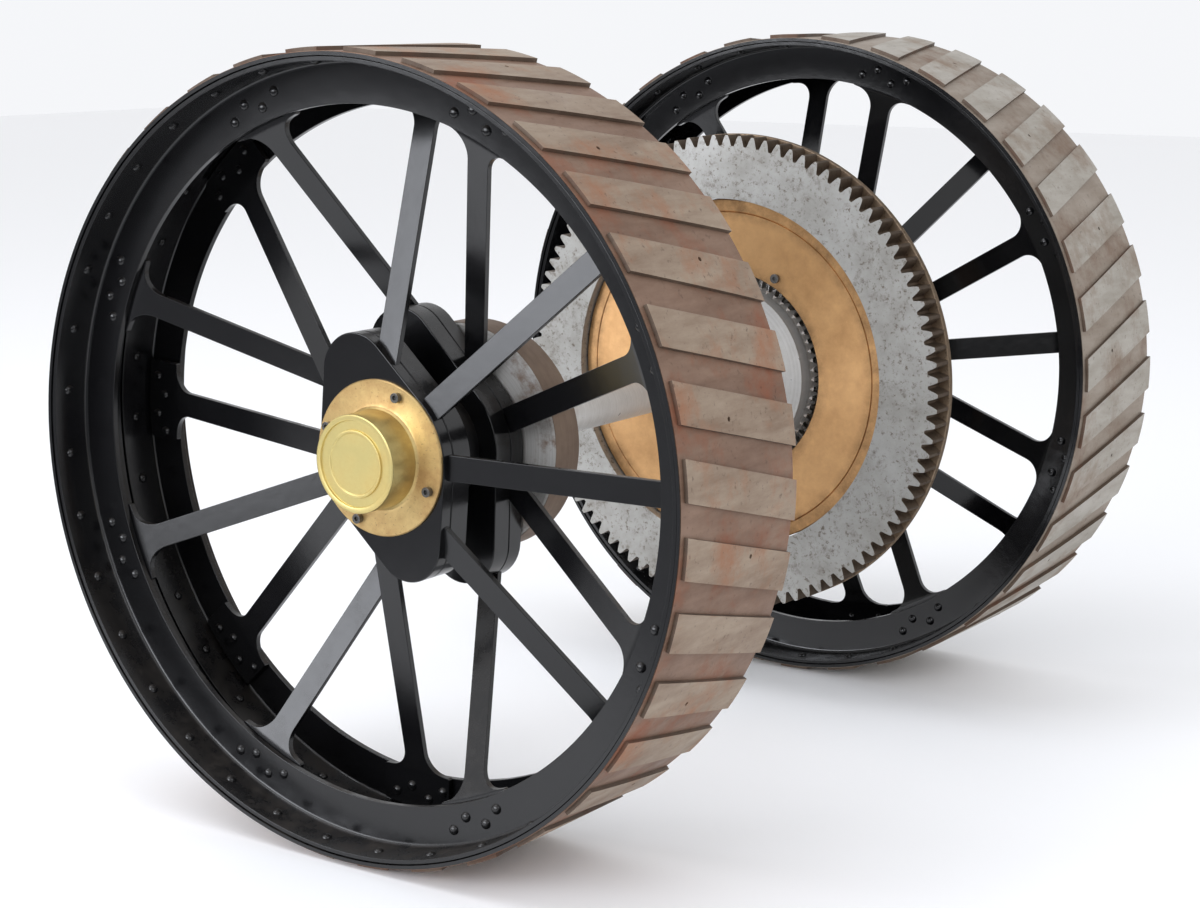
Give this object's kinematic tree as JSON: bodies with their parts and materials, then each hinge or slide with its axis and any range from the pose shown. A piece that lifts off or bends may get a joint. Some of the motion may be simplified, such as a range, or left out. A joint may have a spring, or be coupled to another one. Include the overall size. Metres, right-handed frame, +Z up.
{
  "type": "traction engine axle and wheel set",
  "caption": "Spoked, straked road wheels on a plain axle, with a ring gear and bevel differential, from a model traction engine.",
  "frame": {"origin": "on the axle, half way between the outboard edges of the two wheels", "axes": "+Y along the axle from the near wheel to the wheel beside the ring gear, +Z up"},
  "size_m": [0.6064, 0.796, 0.6064],
  "materials": {
    "black_paint": "glossy brushed-on black paint",
    "rusty_steel": "bare steel with light brown rust",
    "grey_steel": "dull bare steel",
    "bright_steel": "bright turned steel",
    "cast_iron": "machined casting",
    "yellow_brass": "turned brass",
    "bronze": "dull bronze"
  },
  "bodies": {
    "axle_assembly": {"axle": "bright_steel", "near_axle_nut": "grey_steel", "far_axle_nut": "grey_steel", "near_driving_disc": "grey_steel", "near_side_gear": "bright_steel"},
    "near_wheel": {"near_rim": "rusty_steel", "near_outer_t_ring": "black_paint", "near_inner_t_ring": "black_paint", "near_inner_ring_spoke_1": "black_paint", "near_inner_ring_spoke_2": "black_paint", "near_inner_ring_spoke_3": "black_paint", "near_inner_ring_spoke_4": "black_paint", "near_inner_ring_spoke_5": "black_paint", "near_inner_ring_spoke_6": "black_paint", "near_inner_ring_spoke_7": "black_paint", "near_inner_ring_spoke_8": "black_paint", "near_outer_ring_spoke_1": "black_paint", "near_outer_ring_spoke_2": "black_paint", "near_outer_ring_spoke_3": "black_paint", "near_outer_ring_spoke_4": "black_paint", "near_outer_ring_spoke_5": "black_paint", "near_outer_ring_spoke_6": "black_paint", "near_outer_ring_spoke_7": "black_paint", "near_outer_ring_spoke_8": "black_paint", "near_hub": "black_paint", "near_hub_cover": "black_paint", "near_hub_bush": "bronze", "near_hub_cap": "yellow_brass"},
    "far_wheel": {"far_rim": "rusty_steel", "far_outer_t_ring": "black_paint", "far_inner_t_ring": "black_paint", "far_inner_ring_spoke_1": "black_paint", "far_inner_ring_spoke_2": "black_paint", "far_inner_ring_spoke_3": "black_paint", "far_inner_ring_spoke_4": "black_paint", "far_inner_ring_spoke_5": "black_paint", "far_inner_ring_spoke_6": "black_paint", "far_inner_ring_spoke_7": "black_paint", "far_inner_ring_spoke_8": "black_paint", "far_outer_ring_spoke_1": "black_paint", "far_outer_ring_spoke_2": "black_paint", "far_outer_ring_spoke_3": "black_paint", "far_outer_ring_spoke_4": "black_paint", "far_outer_ring_spoke_5": "black_paint", "far_outer_ring_spoke_6": "black_paint", "far_outer_ring_spoke_7": "black_paint", "far_outer_ring_spoke_8": "black_paint", "far_hub": "black_paint", "far_hub_cover": "black_paint", "far_hub_bush": "bronze", "far_hub_cap": "yellow_brass"},
    "ring_gear_assembly": {"ring_gear": "grey_steel", "gear_centre_cover": "bronze", "gear_centre_drum": "cast_iron", "differential_spider": "cast_iron"},
    "far_driver": {"far_side_gear": "bright_steel", "far_driving_disc": "grey_steel"},
    "pinion_one": {"bevel_pinion_1": "bright_steel"},
    "pinion_two": {"bevel_pinion_2": "bright_steel"},
    "pinion_three": {"bevel_pinion_3": "bright_steel"}
  },
  "joints": [
    {"name": "near_wheel_turn", "type": "hinge", "parent": "axle_assembly", "child": "near_wheel", "pos_m": [0, -0.297, 0], "axis": [0, 1, 0], "continuous": true},
    {"name": "far_wheel_turn", "type": "hinge", "parent": "axle_assembly", "child": "far_wheel", "pos_m": [0, 0.297, 0], "axis": [0, 1, 0], "continuous": true},
    {"name": "ring_gear_turn", "type": "hinge", "parent": "axle_assembly", "child": "ring_gear_assembly", "pos_m": [0, 0.1527, 0], "axis": [0, 1, 0], "continuous": true},
    {"name": "far_driver_turn", "type": "hinge", "parent": "axle_assembly", "child": "far_driver", "pos_m": [0, 0.2325, 0], "axis": [0, 1, 0], "continuous": true},
    {"name": "pinion_one_turn", "type": "hinge", "parent": "ring_gear_assembly", "child": "pinion_one", "pos_m": [0.084, 0.1805, 0], "axis": [1, 0, 0], "continuous": true},
    {"name": "pinion_two_turn", "type": "hinge", "parent": "ring_gear_assembly", "child": "pinion_two", "pos_m": [-0.042, 0.1805, 0.07275], "axis": [-0.5, 0, 0.866], "continuous": true},
    {"name": "pinion_three_turn", "type": "hinge", "parent": "ring_gear_assembly", "child": "pinion_three", "pos_m": [-0.042, 0.1805, -0.07275], "axis": [-0.5, 0, -0.866], "continuous": true}
  ],
  "couplings": [
    {"joint": "far_driver_turn", "follows": "ring_gear_turn", "ratio": 2},
    {"joint": "pinion_one_turn", "follows": "ring_gear_turn", "ratio": -4.2857},
    {"joint": "pinion_two_turn", "follows": "ring_gear_turn", "ratio": -4.2857},
    {"joint": "pinion_three_turn", "follows": "ring_gear_turn", "ratio": -4.2857}
  ]
}
